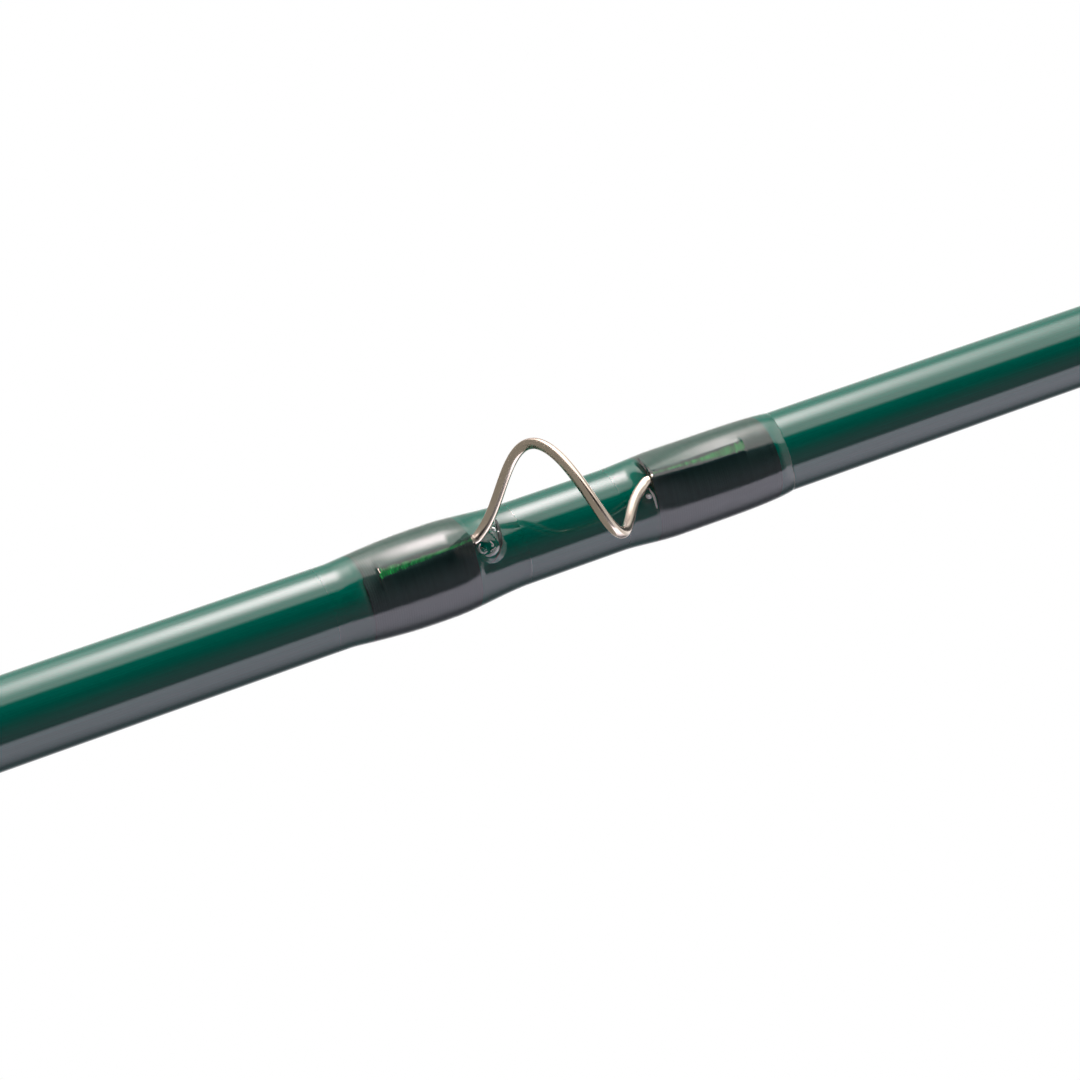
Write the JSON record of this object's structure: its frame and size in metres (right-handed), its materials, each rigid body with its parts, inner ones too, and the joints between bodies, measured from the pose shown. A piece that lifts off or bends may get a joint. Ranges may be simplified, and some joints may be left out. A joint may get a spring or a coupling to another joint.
{
  "type": "fly rod",
  "caption": "Fly rod in sections joined by sleeve ferrules, with bent-wire snake guides, ringed stripping guides, cork grip and up-locking reel seat.",
  "frame": {"origin": "centre of the flat on the end of the fighting butt", "axes": "+Z along the blank from butt to tip, -Y towards the guides and the reel"},
  "size_m": [0.0282, 0.0433, 2.7463],
  "materials": {
    "blank": "glossy translucent green coat over graphite",
    "thread": "dark green thread",
    "clear_finish": "clear glossy epoxy",
    "stainless": "polished",
    "ceramic": "polished",
    "black_alloy": "black anodised",
    "alloy": "satin",
    "washer": "moulded",
    "insert_wood": "oiled and lacquered",
    "bushing": "turned",
    "cork": "sanded cork",
    "rubber_cork": "composite cork",
    "dot_paint": "painted"
  },
  "bodies": {
    "butt_section": {"butt_blank": "blank", "fighting_butt": "rubber_cork", "seat_plug": "alloy", "butt_ring": "black_alloy", "seat_barrel": "black_alloy", "seat_insert": "insert_wood", "seat_arbors": "bushing", "fixed_hood": "black_alloy", "cork_rings": "cork", "winding_check": "alloy", "keeper_base": "stainless", "butt_wraps": "thread", "butt_finish": "clear_finish", "butt_dot": "dot_paint"},
    "hood": {"sliding_hood": "black_alloy"},
    "nut": {"hood_nut": "black_alloy"},
    "washer": {"nut_washer": "washer"},
    "lock_nut": {"jam_nut": "black_alloy"},
    "keeper": {"keeper_ring": "stainless"},
    "lower_mid_section": {"lower_mid_blank": "blank", "lower_mid_ferrule_wrap": "thread", "lower_mid_snake_wraps": "thread", "lower_mid_ferrule_finish": "clear_finish", "lower_mid_snake_finish": "clear_finish", "lower_mid_snake_guide": "stainless", "lower_mid_dots": "dot_paint", "first_stripper_frame": "stainless", "first_stripper_ring": "ceramic", "second_stripper_frame": "stainless", "second_stripper_ring": "ceramic", "stripper_wraps": "thread", "stripper_finish": "clear_finish"},
    "upper_mid_section": {"upper_mid_blank": "blank", "upper_mid_ferrule_wrap": "thread", "upper_mid_snake_wraps": "thread", "upper_mid_ferrule_finish": "clear_finish", "upper_mid_snake_finish": "clear_finish", "upper_mid_snake_guides": "stainless", "upper_mid_dots": "dot_paint"},
    "tip_section": {"tip_blank": "blank", "tip_ferrule_wrap": "thread", "tip_snake_wraps": "thread", "tip_top_wrap": "thread", "tip_ferrule_finish": "clear_finish", "tip_snake_finish": "clear_finish", "tip_snake_guides": "stainless", "tip_top_tube": "stainless", "tip_top_loop": "stainless", "tip_dot": "dot_paint"}
  },
  "joints": [
    {"name": "butt_ferrule", "type": "slide", "parent": "butt_section", "child": "lower_mid_section", "axis": [0, 0, 1], "range_m": [0, 0.065]},
    {"name": "middle_ferrule", "type": "slide", "parent": "lower_mid_section", "child": "upper_mid_section", "axis": [0, 0, 1], "range_m": [0, 0.065]},
    {"name": "tip_ferrule", "type": "slide", "parent": "upper_mid_section", "child": "tip_section", "axis": [0, 0, 1], "range_m": [0, 0.065]},
    {"name": "hood_slide", "type": "slide", "parent": "butt_section", "child": "hood", "axis": [0, 0, 1], "range_m": [0, 0.022]},
    {"name": "nut_turn", "type": "hinge", "parent": "hood", "child": "nut", "pos_m": [0, 0, 0.0567], "axis": [0, 0, 1], "range_deg": [0, 5280]},
    {"name": "washer_slide", "type": "slide", "parent": "butt_section", "child": "washer", "axis": [0, 0, 1], "range_m": [0, 0.022]},
    {"name": "lock_nut_turn", "type": "hinge", "parent": "washer", "child": "lock_nut", "pos_m": [0, 0, 0.0494], "axis": [0, 0, 1], "range_deg": [0, 5280]},
    {"name": "keeper_swing", "type": "hinge", "parent": "butt_section", "child": "keeper", "pos_m": [0, -0.00608, 0.3658], "axis": [-1, 0, 0], "range_deg": [0, 180]}
  ],
  "couplings": [
    {"joint": "nut_turn", "follows": "hood_slide", "rad_per_m": 4188.8},
    {"joint": "washer_slide", "follows": "hood_slide", "ratio": 1},
    {"joint": "lock_nut_turn", "follows": "hood_slide", "rad_per_m": 4188.8}
  ]
}
